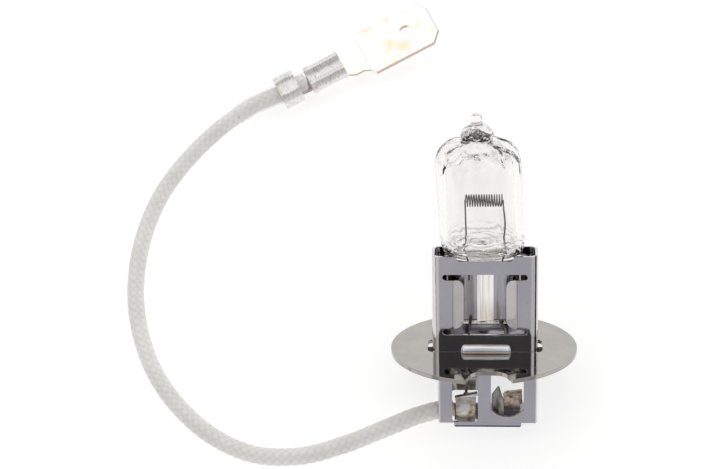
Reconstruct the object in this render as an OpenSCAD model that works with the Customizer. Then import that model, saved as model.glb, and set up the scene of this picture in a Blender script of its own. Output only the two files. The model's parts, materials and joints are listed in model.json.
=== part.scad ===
// Halogen headlight bulb: a flange cap with a pinched quartz envelope and a braided lead.
// The bulb is drawn upright, seat face at z = 0 and glass towards +Z, and then laid down:
// it leans on the rim of its flange and the foot of its cage, with the lead along the bench.

/* [Flange] */
// Diameter of the flange disc
flange_d = 22; // [18:0.5:27]
// Thickness of the flange disc
flange_t = 0.5; // [0.3:0.1:1]
// Width of the locating notch at its mouth
notch_mouth = 5.6; // [4:0.2:7]
// Width of the floor of the locating notch
notch_floor = 2.2; // [1:0.2:3]
// Depth of the locating notch
notch_depth = 2.8; // [1.5:0.1:3]
// Sideways offset of the locating notch
notch_shift = 0.4; // [0:0.1:1]
// Gap between the sleeve and the ends of its opening in the disc
slot_end_gap = 0.55; // [0.1:0.05:1]

/* [Holder sleeve] */
// Width of the flattened sleeve
sleeve_w = 12.4; // [11.5:0.1:15]
// Sideways offset of the sleeve
sleeve_shift = 0.15; // [0:0.05:0.4]
// Depth of the flattened sleeve, front to back
sleeve_d = 4.2; // [3.8:0.1:6]
// Height of the sleeve above the seat face
sleeve_h = 11.8; // [10.6:0.1:15]
// Thickness of the sheet metal
sheet_t = 0.35; // [0.25:0.05:0.5]
// Outside radius of the sleeve's corners
sleeve_r = 1; // [0.6:0.05:1.1]
// Width of the window, over the two narrow slots
window_w = 10; // [8:0.1:11]
// Width of the open middle of the window
window_mid = 5.15; // [4:0.05:6]
// Height of the window's lower edge
window_z = 2.15; // [1.5:0.05:3]
// Height of the window's upper edge
window_top = 9.6; // [8:0.1:10]
// Height of each narrow slot
slot_h = 0.72; // [0.5:0.02:1]
// Inward angle of the two clamping tabs
tab_angle = 20; // [10:1:22]
// Width of the hollow in the top edge under the glass shoulder
recess_w = 8.8; // [8.4:0.1:9.6]
// Depth of the hollow in the top edge
recess_h = 0.6; // [0.4:0.1:1]
// Width of the bead that seats the sleeve on the disc
bead_w = 6; // [4:0.2:8]
// Height of the seating bead
bead_h = 0.8; // [0.5:0.05:1.2]
// Sideways offset of the seating bead
bead_shift = 0.1; // [0:0.05:0.5]
// How far the seating bead stands out
bead_out = 0.6; // [0.3:0.05:1]

/* [Cage] */
// Width of the cage under the disc
cage_w = 11.8; // [10.6:0.1:12.4]
// Sideways offset of the cage
cage_shift = 0.45; // [0.2:0.05:0.6]
// Depth of the cage, front to back
cage_d = 4.2; // [4:0.1:5]
// Height of the cage's walls below the seat face
cage_h = 9.05; // [8.8:0.05:11]
// How far the folded foot reaches below the walls
foot_drop = 0.5; // [0.35:0.05:0.8]
// Width of the folded foot
foot_w = 8; // [5:0.1:9]
// Width of the ears that are welded under the disc
ear_out = 1.4; // [0.8:0.1:2]

/* [Glass] */
// Outside diameter of the envelope
glass_d = 10; // [9:0.1:11]
// Wall of the envelope
glass_wall = 1; // [0.7:0.05:1.3]
// Height of the exhaust tip above the seat face
tip_z = 28.4; // [27:0.1:32]
// Lean of the envelope, in degrees
envelope_lean = 2.8; // [0:0.1:4]
// Width of the pinch
pinch_w = 8.6; // [8:0.1:9]
// Thickness of the pinch
pinch_t = 2.3; // [1.8:0.1:2.6]
// Height of the bottom of the pinch
pinch_z = 3.1; // [1:0.1:5]

/* [Filament] */
// Height of the filament, the light centre length
light_z = 18.1; // [17:0.1:19]
// Length of the coil
coil_len = 4.6; // [3:0.1:5.5]
// Outside diameter of the coil
coil_d = 1.55; // [1:0.05:2]
// Diameter of the filament wire
wire_d = 0.2; // [0.1:0.02:0.3]
// Full turns in the coil
coil_turns = 14; // [8:1:20]
// Diameter of the filament legs
leg_d = 0.26; // [0.2:0.02:0.5]
// Width of a molybdenum foil
foil_w = 1.9; // [1.2:0.1:2.2]
// Thickness of a molybdenum foil
foil_t = 0.05; // [0.03:0.01:0.1]
// Gap between the two foils
foil_gap = 1.9; // [1.4:0.1:2.4]
// Sideways offset of the foils
foil_shift = 0.2; // [0:0.05:0.3]
// Diameter of the outer leads
lead_d = 0.5; // [0.4:0.05:0.6]

/* [Lead] */
// Diameter of the braided lead
cable_d = 2.2; // [1.8:0.1:2.2]
// Diameter of the conductor in the lead
core_d = 1; // [0.8:0.05:1.2]
// Outside diameter of the clear sleeve before the terminal
shrink_d = 2.8; // [2.6:0.1:2.9]

/* [Terminal] */
// Width of the blade
blade_w = 6.3; // [4.8:0.1:7]
// Thickness of the blade
blade_t = 0.8; // [0.5:0.1:1]
// Length of the blade
blade_len = 10.4; // [8:0.2:13]
// Diameter of the hole in the blade
hole_d = 1.9; // [1.2:0.1:2.6]
// Thickness of the terminal's sheet metal
term_t = 0.4; // [0.3:0.05:0.5]
// Length of the crimp over the insulation
grip_len = 2.7; // [2:0.1:3.4]
// Width across the crimp over the insulation
grip_w = 4.4; // [4:0.1:5]
// Width across the crimp over the conductor
crimp_w = 3.7; // [3:0.1:4.4]
// Height of the crimp over the conductor
crimp_h = 2.5; // [2:0.1:3]

/* [Hidden] */
$fn = 48;
hull_fn = 32;
fit_gap = 0.02;      // room round a piece in its pocket
slide_gap = 0.05;    // room round a piece in its opening
past = 0.2;          // how far a bore runs past the end of a swept tube
over = 1;            // how far a cutter passes the face it cuts
foot_z = -(cage_h + foot_drop);
lie_angle = atan2(flange_d / 2 - cage_d / 2, -foot_z - flange_t);
rest_z = -flange_d / 2 * cos(lie_angle) - flange_t * sin(lie_angle);

// windows of the cage: x of the left edge, width, and height of the sill over the wall's foot
cage_left = cage_shift - cage_w / 2;
lug_port_x = -3.75;
lug_port_w = 3.05;
lug_port_sill = 0.1;
clip_port_x = 0.85;
clip_port_w = 3.85;
clip_port_sill = 0.75;
arch_r = 2.3;                            // radius of the round sill of the right window
back_port_x = -3.9;
back_port_w = 3.7;
back_port_h = 1.7;
back_clip_x = 0.6;
back_clip_w = 4.3;
back_sill = 0.9;
back_head = 1;                           // metal left over the rear windows
back_slit = 0.35;                        // slit that frees the edge of the rear plate
side_sill = 3;                           // height of the open lower part of the left side

// the glass, from the pinch up
shoulder_z = sleeve_h - 0.5;             // top of the flat pinch
barrel_z = shoulder_z + 2.6;             // where the round barrel starts
dome_z = tip_z - 5;                      // where the dome starts
dome_h = 2.2;
neck_d = 3.4;                            // bulge round the exhaust tip
tip_d = 1.4;
lean_z = 9.2;                            // height of the point that the envelope leans about
floor_rise = 2.2;                        // mound of quartz on the floor of the cavity
floor_z = barrel_z - 1.9;
bore_r = glass_d / 2 - glass_wall;
cavity_top = dome_z - 1.2;

// clamping tabs of the sleeve
tab_reach = 1.12;
tab_root = window_mid / 2 + tab_reach;
tab_lap = 0.2;                           // how far a tab runs into the wall at its root
tab_sunk = 0.08;

// electrical parts
coil_r = (coil_d - wire_d) / 2;
foil_z = pinch_z + 0.3;
foil_top = window_top;
foil_x = [for (s = [-1, 1]) foil_shift + s * (foil_gap + foil_w) / 2];
leg_side = foil_t / 2 + leg_d / 2 + fit_gap;
lead_side = foil_t / 2 + lead_d / 2 + fit_gap;
leg_top = [for (s = [-1, 1]) [s * coil_len / 2, s * coil_r, light_z]];
leg_foot = [for (s = [-1, 1]) [s * coil_len / 2 + foil_shift * 0.5, s * leg_side, foil_top - 1.2]];
lug_z = foot_z + sheet_t + 3.3;          // ledge of the lug
lug_x = -2.15;
lug_w = 2.4;
lug_front = -1.15;
lug_back = 0.9;
lug_tilt = 12;
ledge_t = 0.3;
clip_size = [2, 1.9, 1.5];
clip_at = [3.55, 0.1, lug_z - 0.9];
clip_tilt = 6;
tab_at = [1.65, 0, lug_z - 1];
tab_turn = 25;
weld_d = 0.9;
weld_h = 0.2;
ear_weld_x = [-3.4, 3.8];
end_weld_y = -0.65;                      // welds at the ends of the sleeve's opening
lead_top = [for (i = [0, 1]) [foil_x[i] + (2 * i - 1) * 0.1, (2 * i - 1) * lead_side, foil_z + 0.5]];
right_foot_y = cage_d / 2 - sheet_t - lead_d / 2 - 2 * fit_gap;
lead_foot = [[lug_x, -0.2, lug_z + 0.15], [2.9, right_foot_y, -flange_t - back_head]];

// the terminal lies on its crimp, with the blade a little off the bench
term_pos = [-26.6, 38.8, rest_z + 0.2];
term_turn = [7, -8, 26.8];
crimp_x = grip_len + 1.5;                // start of the conductor crimp
crimp_len = 4.9;
blade_x = crimp_x + crimp_len + 3.1;
neck_w = 3.9;
grip_bore = shrink_d + 2 * slide_gap;
grip_h = grip_bore + 2 * term_t;
blade_cut = 1.2;                         // chamfer at the tip of the blade
hole_in = 4;                             // from the tip of the blade to its hole
floor_w = 2.2;
floor_lap = 1;

// route of the lead: x, y and height over the bench
in_lug = [lug_x, -0.1, foot_z + 1.8];     // where the conductor ends, in the upright bulb
at_port = [[-3.7, -0.2, foot_z + 1.7], [-5.5, -0.6, foot_z + 1.5]];
lead_in = [for (p = at_port) turn_x(p, lie_angle - 90)];
lead_route = [
    [-8, -6.8, 2.7], [-10.4, -7.7, 2.4], [-13.1, -8.7, 1.9], [-16.7, -10, 1.3], [-21.9, -11.4, 1.1],
    [-27.4, -11.3, 1.1], [-32.4, -9.2, 1.1], [-36.6, -5.8, 1.1], [-40, -1.5, 1.1],
    [-42.3, 3.4, 1.1], [-43.6, 8.7, 1.1], [-43.8, 14.2, 1.1], [-43, 19.6, 1.1],
    [-41.2, 24.7, 1.1], [-38.3, 29.4, 1.1], [-34.7, 33.5, 1.3], [-30.4, 36.9, 1.6]
];
jacket_end = [grip_len + 0.9, 0, term_t + cable_d / 2 + 0.05];
cable_lift = term_t + grip_bore / 2;     // height of the lead over the terminal's floor
shrink_ahead = 1.8;                      // how far the clear sleeve starts before that point
core_route = [[crimp_x - 0.1, 0, crimp_h / 2], [crimp_x + crimp_len - 0.1, 0, crimp_h / 2]];
lead_points = concat(lead_in, [for (p = lead_route) [p[0], p[1], p[2] + rest_z]],
                     [for (u = [0.2, grip_len]) in_terminal([u, 0, cable_lift])],
                     [in_terminal(jacket_end)]);
core_points = concat([turn_x(in_lug, lie_angle - 90)], lead_points,
                     [for (p = core_route) in_terminal(p)]);

// ---- helpers ----

// the bulb lies on its flange rim and the foot of its cage
module lying() {
    rotate([lie_angle - 90, 0, 0]) children();
}

// the terminal's own frame: X along the blade, Z up through it
module at_terminal() {
    translate(term_pos) rotate(term_turn) children();
}

function turn_x(p, a) = [p[0], p[1] * cos(a) - p[2] * sin(a), p[1] * sin(a) + p[2] * cos(a)];
function turn_y(p, a) = [p[0] * cos(a) + p[2] * sin(a), p[1], -p[0] * sin(a) + p[2] * cos(a)];
function turn_z(p, a) = [p[0] * cos(a) - p[1] * sin(a), p[0] * sin(a) + p[1] * cos(a), p[2]];
function in_terminal(p) =
    term_pos + turn_z(turn_y(turn_x(p, term_turn[0]), term_turn[1]), term_turn[2]);

function unit(v) = v / norm(v);
function heading(path, i) =
    unit(path[min(i + 1, len(path) - 1)] - path[max(i - 1, 0)]);

// the same path with each end carried on by the given length
function stretched(path, more) =
    let (n = len(path))
    concat([path[0] - more * heading(path, 0)], [for (i = [1:n - 2]) path[i]],
           [path[n - 1] + more * heading(path, n - 1)]);

// a tube with a closed end at each end, swept along a path; up is never along the path
module sweep(path, d, sides, up) {
    n = len(path);
    points = [for (i = [0:n - 1])
        let (t = heading(path, i), a = unit(cross(up, t)), b = cross(t, a))
        for (k = [0:sides - 1]) path[i] + d / 2 * (a * cos(k * 360 / sides) + b * sin(k * 360 / sides))];
    walls = [for (i = [0:n - 2]) for (k = [0:sides - 1])
        let (m = (k + 1) % sides) [i * sides + k, (i + 1) * sides + k, (i + 1) * sides + m, i * sides + m]];
    first = [for (k = [0:sides - 1]) k];
    last = [for (k = [0:sides - 1]) n * sides - 1 - k];
    polyhedron(points, concat(walls, [first, last]), convexity = 6);
}

// a straight round rod from one point to another
module rod(from, to, d) {
    way = to - from;
    translate(from) rotate([0, acos(way[2] / norm(way)), atan2(way[1], way[0])])
        cylinder(h = norm(way), d = d);
}

// a rectangle with round corners, centred
module round_rect(w, d, r) {
    translate([-w / 2 + r, -d / 2]) square([w - 2 * r, d]);
    translate([-w / 2, -d / 2 + r]) square([w, d - 2 * r]);
    for (x = [-w / 2 + r, w / 2 - r], y = [-d / 2 + r, d / 2 - r]) translate([x, y]) circle(r);
}

// a plate in the XZ plane, from y towards the back
module upright(y, t) {
    translate([0, y + t, 0]) rotate([90, 0, 0]) linear_extrude(t) children();
}

// ---- glass ----

module leaning() {
    translate([0, 0, lean_z]) rotate([0, -envelope_lean, 0]) translate([0, 0, -lean_z]) children();
}

module envelope_outline() {
    r = glass_d / 2;
    steps = 8;
    polygon(concat(
        [[0, barrel_z], [r, barrel_z], [r, dome_z]],
        [for (i = [1:steps]) [neck_d / 2 + (r - neck_d / 2) * cos(i * 90 / steps),
                              dome_z + dome_h * sin(i * 90 / steps)]],
        [[neck_d / 2, dome_z + dome_h + 0.7], [tip_d / 2 + 0.3, tip_z - 1.5],
         [tip_d / 2, tip_z - 1.2], [tip_d / 2, tip_z - 0.35], [tip_d / 2 - 0.35, tip_z], [0, tip_z]]));
}

module cavity_outline() {
    steps = 8;
    polygon(concat(
        [for (i = [0:steps]) [bore_r * i / steps, floor_z + floor_rise * cos(i * 90 / steps)]],
        [for (i = [0:steps]) [bore_r * cos(i * 90 / steps), cavity_top + 1.4 * sin(i * 90 / steps)]]));
}

module quartz_envelope() {
    color("aliceblue", 0.35) lying() difference() {
        union() {
            leaning() rotate_extrude() envelope_outline();
            hull() {
                translate([foil_shift / 2, 0, shoulder_z - 0.01]) linear_extrude(0.01)
                    square([pinch_w, pinch_t], center = true);
                leaning() translate([0, 0, barrel_z + 0.3])
                    cylinder(h = 0.01, d = glass_d - 0.1, $fn = hull_fn);
            }
            translate([foil_shift / 2 - pinch_w / 2, -pinch_t / 2, pinch_z])
                cube([pinch_w, pinch_t, shoulder_z - pinch_z]);
        }
        leaning() rotate_extrude() cavity_outline();
        for (i = [0, 1]) {
            rod(leg_foot[i], leg_top[i], leg_d + 2 * fit_gap);
            rod(lead_foot[i], lead_top[i], lead_d + 2 * fit_gap);
            translate([foil_x[i] - foil_w / 2 - fit_gap, -foil_t / 2 - fit_gap, foil_z - fit_gap])
                cube([foil_w + 2 * fit_gap, foil_t + 2 * fit_gap, foil_top - foil_z + 2 * fit_gap]);
        }
    }
}

// ---- filament and its leads ----

module filament_coil() {
    steps = 12;
    last = (coil_turns + 0.5) * steps;
    path = [for (i = [0:last])
        [-coil_len / 2 + coil_len * i / last,
         -coil_r * cos(i * 360 / steps), light_z + coil_r * sin(i * 360 / steps)]];
    color("dimgray") lying() sweep(path, wire_d, 6, [1, 0, 0]);
}

module filament_leg(i) {
    color("gray") lying() rod(leg_foot[i], leg_top[i] - [0, 0, wire_d / 2], leg_d);
}

module filament_leg_left() { filament_leg(0); }
module filament_leg_right() { filament_leg(1); }

module foil(i) {
    color("dimgray") lying() translate([foil_x[i] - foil_w / 2, -foil_t / 2, foil_z])
        cube([foil_w, foil_t, foil_top - foil_z]);
}

module foil_left() { foil(0); }
module foil_right() { foil(1); }

module outer_lead(i) {
    color("slategray") lying() rod(lead_foot[i], lead_top[i], lead_d);
}

module outer_lead_left() { outer_lead(0); }
module outer_lead_right() { outer_lead(1); }

// ---- sleeve, disc and cage ----

module window_shape(slots) {
    translate([-window_mid / 2, window_z]) square([window_mid, window_top - window_z]);
    if (slots) for (z = [window_z + slot_h / 2, window_top - slot_h / 2]) {
        translate([-window_w / 2 + slot_h / 2, z - slot_h / 2]) square([window_w - slot_h, slot_h]);
        for (x = [-1, 1]) translate([x * (window_w - slot_h) / 2, z]) circle(slot_h / 2);
    }
}

// one of the two tabs that press on the pinch, hinged on the wall at its root
module clamp_tab(side) {
    low = window_z + slot_h;
    high = window_top - slot_h;
    r = tab_reach - 0.1;
    mirror([side < 0 ? 0 : 1, 0, 0]) translate([-tab_root, -sleeve_d / 2, 0]) rotate([0, 0, tab_angle])
        upright(tab_sunk, sheet_t) {
            translate([-tab_lap, low]) square([tab_lap + tab_reach - r, high - low]);
            translate([-tab_lap, low + r]) square([tab_lap + tab_reach, high - low - 2 * r]);
            for (z = [low + r, high - r]) translate([tab_reach - r, z]) circle(r);
        }
}

// a pressed bead, a quarter round in section, standing out of a wall on the seat face
module seating_bead(side) {
    lap = sheet_t / 2;
    translate([bead_shift, side * sleeve_d / 2, 0]) intersection() {
        translate([-bead_w / 2, side > 0 ? -lap : -bead_out, 0]) cube([bead_w, bead_out + lap, bead_h]);
        rotate([0, 90, 0]) cylinder(h = bead_w, r = bead_h, center = true);
    }
}

module holder_sleeve() {
    color("lightslategray") lying() translate([sleeve_shift, 0, 0]) {
        difference() {
            translate([0, 0, -flange_t]) linear_extrude(sleeve_h + flange_t) difference() {
                round_rect(sleeve_w, sleeve_d, sleeve_r);
                round_rect(sleeve_w - 2 * sheet_t, sleeve_d - 2 * sheet_t, sleeve_r - sheet_t);
            }
            upright(-sleeve_d / 2 - over, over + sheet_t + slide_gap) {
                window_shape(true);
                translate([-tab_root, window_z]) square([2 * tab_root, window_top - window_z]);
            }
            upright(sleeve_d / 2 - sheet_t - slide_gap, over + sheet_t) window_shape(false);
            upright(-sleeve_d, 2 * sleeve_d) translate([0, sleeve_h]) {
                translate([-recess_w / 2, -recess_h / 2]) square([recess_w, recess_h]);
                translate([-recess_w / 2 + recess_h / 2, -recess_h]) square([recess_w - recess_h, recess_h]);
                for (x = [-1, 1]) translate([x * (recess_w - recess_h) / 2, -recess_h / 2])
                    circle(recess_h / 2);
            }
        }
        for (side = [-1, 1]) {
            clamp_tab(side);
            seating_bead(side);
        }
    }
}

module notch_outline() {
    r = flange_d / 2;
    polygon([[-notch_floor / 2, -r + notch_depth], [notch_floor / 2, -r + notch_depth],
             [notch_mouth / 2, -r + 0.2], [notch_mouth / 2 + 1, -r - over],
             [-notch_mouth / 2 - 1, -r - over], [-notch_mouth / 2, -r + 0.2]]);
}

// the opening is wider in the middle, where the seating beads of the sleeve pass through
module flange_disc() {
    color("silver") lying() translate([0, 0, -flange_t]) difference() {
        cylinder(h = flange_t, d = flange_d, $fn = 96);
        translate([0, 0, -over]) linear_extrude(flange_t + 2 * over) {
            translate([notch_shift, 0]) notch_outline();
            translate([sleeve_shift, 0])
                square([sleeve_w + 2 * slot_end_gap, sleeve_d + 2 * slide_gap], center = true);
            translate([sleeve_shift + bead_shift, 0])
                square([bead_w + 2 * slide_gap, sleeve_d + 2 * bead_out + 2 * slide_gap], center = true);
        }
    }
}

// the welds that hold the sleeve and the cage's ears to the disc
module tack_welds() {
    bead = [slot_end_gap, 0.5, flange_t];
    color("darkgray") lying() {
        for (x = ear_weld_x, y = [-1, 1])
            translate([x, y * (cage_d / 2 + ear_out * 0.6), -flange_t - sheet_t - weld_h])
                cylinder(h = weld_h, d = weld_d);
        for (x = [-1, 1])
            translate([sleeve_shift + x * (sleeve_w + slot_end_gap) / 2, end_weld_y, -flange_t / 2])
                cube(bead, center = true);
    }
}

module cage_front() {
    low = -cage_h;
    difference() {
        translate([cage_left, low]) square([cage_w, cage_h - flange_t]);
        translate([lug_port_x, low + lug_port_sill]) square([lug_port_w, cage_h]);
        translate([clip_port_x, low + clip_port_sill]) {
            translate([0, arch_r / 2 + 0.1]) square([clip_port_w, cage_h]);
            intersection() {
                square([clip_port_w, arch_r]);
                translate([clip_port_w / 2, arch_r]) circle(arch_r);
            }
        }
    }
}

module cage_back() {
    low = -cage_h;
    difference() {
        translate([cage_left, low]) square([cage_w, cage_h - flange_t]);
        translate([back_port_x, low + back_sill]) square([back_port_w, back_port_h]);
        translate([back_port_x, low]) square([back_slit, cage_h]);
        translate([back_clip_x, low + back_sill])
            square([back_clip_w, cage_h - flange_t - back_sill - back_head]);
    }
}

module base_cage() {
    ear_w = cage_w - 2;
    color("lightslategray") lying() {
        upright(-cage_d / 2, sheet_t) cage_front();
        upright(cage_d / 2 - sheet_t, sheet_t) cage_back();
        translate([cage_left + cage_w - sheet_t, -cage_d / 2, -cage_h])
            cube([sheet_t, cage_d, cage_h - flange_t]);
        translate([cage_left, -cage_d / 2, -cage_h + side_sill])
            cube([sheet_t, cage_d, cage_h - side_sill - flange_t]);
        // folded foot, joined to both walls
        translate([cage_shift - foot_w / 2, -cage_d / 2, foot_z]) cube([foot_w, cage_d, sheet_t]);
        for (y = [-cage_d / 2, cage_d / 2 - sheet_t])
            translate([cage_shift - foot_w / 2, y, foot_z]) cube([foot_w, sheet_t, foot_drop + 0.1]);
        // ears under the disc
        for (y = [-1, 1])
            translate([cage_shift, y * (cage_d + ear_out - sheet_t) / 2, -flange_t - sheet_t / 2])
                cube([ear_w, ear_out + sheet_t, sheet_t], center = true);
    }
}

// ---- inside the cage ----

// bent kite-shaped tongue that stands on the folded foot and joins it to the clip
module ground_tab() {
    foot = foot_z + sheet_t - tab_at[2];
    color("gray") lying() translate(tab_at) rotate([90, 0, tab_turn])
        linear_extrude(sheet_t, center = true)
            polygon([[-0.75, 0.6], [0.05, 1.6], [0.7, 0.3], [0.75, foot], [0.3, foot], [-0.75, -0.4]]);
}

// folded block of the clip beside the tongue
module ground_clip() {
    color("rosybrown") lying() translate(clip_at) rotate([0, -clip_tilt, 0])
        cube(clip_size, center = true);
}

// folded lug on the end of the lead, open to the left for the conductor
module lead_lug() {
    low = foot_z + 2 * sheet_t;
    step = 0.6;                          // how much shorter the rear wall is
    color("silver") lying() difference() {
        union() {
            translate([lug_x - lug_w / 2, lug_front, low]) cube([lug_w, sheet_t, lug_z - low]);
            translate([lug_x - lug_w / 2, lug_back, low + step])
                cube([lug_w, sheet_t, lug_z - low - step]);
            translate([lug_x, (lug_front + lug_back + sheet_t) / 2, lug_z - ledge_t / 2])
                rotate([0, -lug_tilt, 0])
                    cube([lug_w + ledge_t, lug_back + sheet_t - lug_front, ledge_t], center = true);
        }
        rod(lead_foot[0], lead_top[0], lead_d + 2 * fit_gap);
    }
}

// bead of weld round the left lead on the lug
module lug_weld() {
    color("saddlebrown") lying() difference() {
        translate([lug_x, lead_foot[0][1], lug_z + ledge_t + 0.12])
            cylinder(h = weld_h, d = weld_d + weld_h);
        rod(lead_foot[0], lead_top[0], lead_d + 2 * fit_gap);
    }
}

// ---- lead and terminal ----

module cable_jacket() {
    color("ivory") difference() {
        sweep(lead_points, cable_d, 8, [0, 0, 1]);
        sweep(stretched(lead_points, past), core_d + 2 * fit_gap, 8, [0, 0, 1]);
    }
}

module cable_core() {
    color("peru") sweep(core_points, core_d, 8, [0, 0, 1]);
}

module shrink_sleeve() {
    n = len(lead_points);
    path = [lead_points[n - 4] + unit(lead_points[n - 5] - lead_points[n - 4]) * shrink_ahead,
            lead_points[n - 4], lead_points[n - 3], lead_points[n - 2]];
    color("white", 0.7) difference() {
        sweep(path, shrink_d, 8, [0, 0, 1]);
        sweep(stretched(path, past), cable_d + 2 * slide_gap, 8, [0, 0, 1]);
    }
}

// closed barrel of a crimp, eight flats outside and a round bore
module barrel(x, length, w, h, bore) {
    translate([x, 0, h / 2]) rotate([90, 0, 90]) linear_extrude(length) difference() {
        flat_y = w / 2 * 0.45;
        flat_z = h / 2 * 0.4;
        polygon([[-w / 2, -flat_z], [-flat_y, -h / 2], [flat_y, -h / 2], [w / 2, -flat_z],
                 [w / 2, flat_z], [flat_y, h / 2], [-flat_y, h / 2], [-w / 2, flat_z]]);
        circle(d = bore);
    }
}

module spade_terminal() {
    color("gainsboro") at_terminal() difference() {
        union() {
            barrel(0, grip_len, grip_w, grip_h, grip_bore);
            barrel(crimp_x, crimp_len, crimp_w, crimp_h, core_d + 2 * slide_gap);
            translate([0, -floor_w / 2, 0]) cube([crimp_x + floor_lap, floor_w, term_t]);
            translate([crimp_x + floor_lap, -neck_w / 2 + term_t, 0])
                cube([crimp_len, neck_w - 2 * term_t, term_t]);
            translate([crimp_x + crimp_len - fit_gap, -neck_w / 2, 0])
                cube([blade_x - crimp_x - crimp_len + 2 * fit_gap, neck_w, term_t]);
            linear_extrude(blade_t) polygon([
                [blade_x, -blade_w / 2], [blade_x + blade_len - blade_cut, -blade_w / 2],
                [blade_x + blade_len, -blade_w / 2 + blade_cut],
                [blade_x + blade_len, blade_w / 2 - blade_cut],
                [blade_x + blade_len - blade_cut, blade_w / 2], [blade_x, blade_w / 2]]);
        }
        translate([blade_x + blade_len - hole_in, 0, -over]) cylinder(h = blade_t + 2 * over, d = hole_d);
    }
}

quartz_envelope();
filament_coil();
filament_leg_left();
filament_leg_right();
foil_left();
foil_right();
outer_lead_left();
outer_lead_right();
holder_sleeve();
flange_disc();
base_cage();
tack_welds();
ground_tab();
ground_clip();
lead_lug();
lug_weld();
cable_jacket();
cable_core();
shrink_sleeve();
spade_terminal();
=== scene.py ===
"""A halogen headlight bulb lying on a pale bench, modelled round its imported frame.

The bulb is modelled upright in millimetres, seat face at z = 0 and glass upwards, and then laid down.
The terminal is modelled in a frame of its own, x along its blade, and set at the end of the lead.
"""

import json
import math

import bpy
from mathutils import Matrix, Vector, noise


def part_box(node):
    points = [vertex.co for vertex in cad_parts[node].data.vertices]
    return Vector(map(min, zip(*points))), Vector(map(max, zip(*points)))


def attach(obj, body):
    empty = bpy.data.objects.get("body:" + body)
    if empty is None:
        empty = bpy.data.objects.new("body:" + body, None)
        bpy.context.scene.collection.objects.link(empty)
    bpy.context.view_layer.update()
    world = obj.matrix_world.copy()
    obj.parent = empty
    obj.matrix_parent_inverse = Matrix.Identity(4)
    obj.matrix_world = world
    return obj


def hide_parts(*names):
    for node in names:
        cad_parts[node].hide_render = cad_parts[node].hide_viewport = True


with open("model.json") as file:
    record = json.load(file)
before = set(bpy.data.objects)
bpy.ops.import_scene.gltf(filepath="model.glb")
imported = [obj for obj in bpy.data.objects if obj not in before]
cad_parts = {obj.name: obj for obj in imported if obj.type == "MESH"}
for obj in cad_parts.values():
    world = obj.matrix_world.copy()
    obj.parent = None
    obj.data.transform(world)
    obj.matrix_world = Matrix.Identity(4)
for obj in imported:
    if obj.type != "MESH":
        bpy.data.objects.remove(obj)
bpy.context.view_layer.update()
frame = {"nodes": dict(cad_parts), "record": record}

MM = 0.001
mounts = {m["name"]: m for m in frame["record"]["mounts"]}


# ---- places, taken from the frame ----

def corners(node, local):
    """Lowest and highest corner of a CAD node in a local frame, in millimetres."""
    inverse = local.inverted()
    points = [inverse @ v.co for v in frame["nodes"][node].data.vertices]
    low = Vector([min(p[k] for p in points) for k in range(3)])
    high = Vector([max(p[k] for p in points) for k in range(3)])
    return low, high


bulb_axis = Vector(mounts["flange_rim"]["axis"])
LEAN = (math.atan2(bulb_axis.z, bulb_axis.y) - math.pi / 2, 0, 0)
LYING = Matrix.Rotation(LEAN[0], 4, "X") @ Matrix.Scale(MM, 4)

blade_x = Vector(mounts["blade"]["axis"])
blade_z = Vector(mounts["blade_hole"]["axis"])
blade_y = blade_z.cross(blade_x)
turned = Matrix((blade_x, blade_y, blade_z)).transposed().to_4x4() @ Matrix.Scale(MM, 4)
term_low, term_high = corners("spade_terminal", turned)
hole = turned.inverted() @ Vector(mounts["blade_hole"]["pos_m"])
AT_TERMINAL = turned @ Matrix.Translation((term_low.x, hole.y, term_low.z))

FLANGE_R = mounts["flange_rim"]["dims"]["r_mm"]
FLANGE_T = mounts["flange_rim"]["dims"]["length_mm"]
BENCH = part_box("flange_disc")[0].z
sleeve_low, sleeve_high = corners("holder_sleeve", LYING)
cage_low, cage_high = corners("base_cage", LYING)
coil_low, coil_high = corners("filament_coil", LYING)
SLEEVE_W = sleeve_high.x - sleeve_low.x
SLEEVE_TOP = sleeve_high.z
SHEET = 0.35
HALF_D = 2.1
SEAM_FROM, SEAM_TO = 0.42, 0.22
FRONT, BACK = (-HALF_D - 1, -HALF_D + 1), (HALF_D - 1, HALF_D + 1)
FOOT = cage_low.z
GLASS_TOP = 28.4


# ---- camera ----

def make_camera():
    """Looks down on the bench from in front, leaning to its right."""
    place = Vector((0, -88.4, 206.9)) * MM
    aim = Vector((-16.6, 18.3, -7.1)) * MM
    lean = math.radians(8)
    data = bpy.data.cameras.new("camera")
    data.lens = 96.4
    data.sensor_width = 36
    data.clip_start = 0.01
    camera = bpy.data.objects.new("camera", data)
    bpy.context.scene.collection.objects.link(camera)
    facing = (aim - place).to_track_quat("-Z", "Y").to_matrix().to_4x4()
    camera.matrix_world = Matrix.Translation(place) @ facing @ Matrix.Rotation(-lean, 4, "Z")
    bpy.context.scene.camera = camera


# ---- modelling helpers ----

def deselect():
    if bpy.context.object and bpy.context.object.mode != "OBJECT":
        bpy.ops.object.mode_set(mode="OBJECT")
    bpy.ops.object.select_all(action="DESELECT")


def activate(piece):
    deselect()
    piece.select_set(True)
    bpy.context.view_layer.objects.active = piece


def named(name):
    """Names the object that was just added and puts its place in its mesh."""
    bpy.ops.object.transform_apply(location=True, rotation=True, scale=True)
    piece = bpy.context.object
    piece.name = name
    piece.data.name = name
    return piece


def block(name, low, high):
    deselect()
    low, high = Vector(low), Vector(high)
    bpy.ops.mesh.primitive_cube_add(size=1, location=(low + high) / 2, scale=high - low)
    return named(name)


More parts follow.
